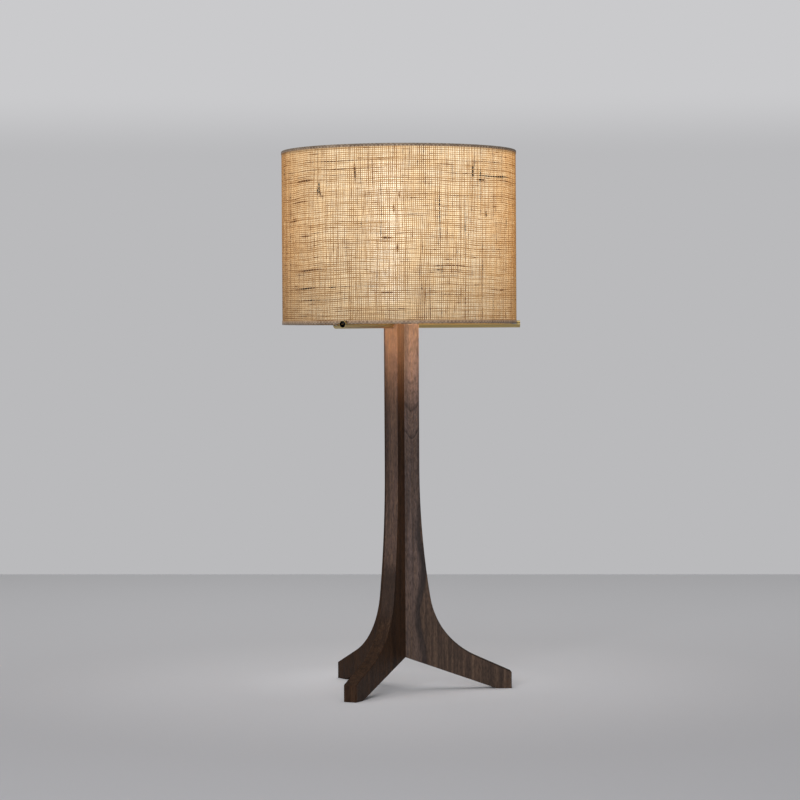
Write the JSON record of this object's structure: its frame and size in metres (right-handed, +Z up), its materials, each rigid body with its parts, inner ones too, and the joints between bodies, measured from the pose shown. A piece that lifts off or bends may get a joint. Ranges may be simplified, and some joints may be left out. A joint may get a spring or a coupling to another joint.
{
  "type": "table lamp",
  "caption": "Table lamp with a column of mitred wooden fins that flare into feet, brass tubes and a lift-off fabric drum shade.",
  "frame": {"origin": "on the floor, on the lamp's axis, where the three fins meet", "axes": "+Z up along the column's axis; +X along the right-hand fin and its brass tube; the picture looks nearly along +Y"},
  "size_m": [0.3227, 0.318, 0.7293],
  "materials": {
    "walnut": "oiled dark walnut",
    "spline_wood": "plain hardwood",
    "brass_tube": "satin",
    "zinc_steel": "zinc plated",
    "bushing_plastic": "moulded",
    "holder_brass": "polished",
    "contact_brass": "plain",
    "fibre_sleeve": "pressed fibre",
    "moulded_block": "moulded",
    "key_steel": "plain",
    "knob_plastic": "moulded",
    "frosted_glass": "frosted",
    "clear_glass": "clear",
    "bulb_cap_metal": "rolled",
    "bulb_insulator": "vitrified",
    "bulb_tip": "soldered",
    "lead_wire": "drawn wire",
    "filament_wire": "coiled wire",
    "shade_fabric": "loose plain-weave burlap",
    "shade_liner": "translucent sheet",
    "shade_wire": "white coated wire",
    "shade_trim": "folded woven tape"
  },
  "bodies": {
    "stand": {"fin_right": "walnut", "fin_rear_left": "walnut", "fin_front_left": "walnut", "fin_splines": "spline_wood", "rod_right": "brass_tube", "rod_rear_left": "brass_tube", "rod_front_left": "brass_tube", "centre_pipe": "zinc_steel", "bottom_washer": "zinc_steel", "bottom_nut": "zinc_steel", "cord_bushing": "bushing_plastic", "check_ring": "holder_brass", "top_nut": "zinc_steel", "socket_cap": "holder_brass", "cap_set_screw": "zinc_steel", "socket_shell": "holder_brass", "socket_sleeve": "fibre_sleeve", "switch_block": "moulded_block", "terminal_screws": "contact_brass", "screw_shell": "contact_brass", "centre_contact": "contact_brass"},
    "switch_key": {"key_shaft": "key_steel", "key_knob": "knob_plastic"},
    "bulb": {"bulb_globe": "frosted_glass", "bulb_cap": "bulb_cap_metal", "bulb_insulator": "bulb_insulator", "bulb_contact": "bulb_tip", "bulb_stem": "clear_glass", "bulb_leads": "lead_wire", "bulb_filament": "filament_wire"},
    "shade": {"shade_fabric": "shade_fabric", "shade_liner": "shade_liner", "shade_bottom_wire": "shade_wire", "shade_top_wire": "shade_wire", "shade_bottom_trim": "shade_trim", "shade_top_trim": "shade_trim"}
  },
  "joints": [
    {"name": "switch_key_turn", "type": "hinge", "parent": "stand", "child": "switch_key", "pos_m": [-0.02, 0, 0.56], "axis": [-1, 0, 0], "continuous": true},
    {"name": "bulb_lift", "type": "slide", "parent": "stand", "child": "bulb", "axis": [0, 0, 1], "range_m": [0, 0.03]},
    {"name": "shade_lift", "type": "slide", "parent": "stand", "child": "shade", "axis": [0, 0, 1], "range_m": [0, 0.25]}
  ]
}
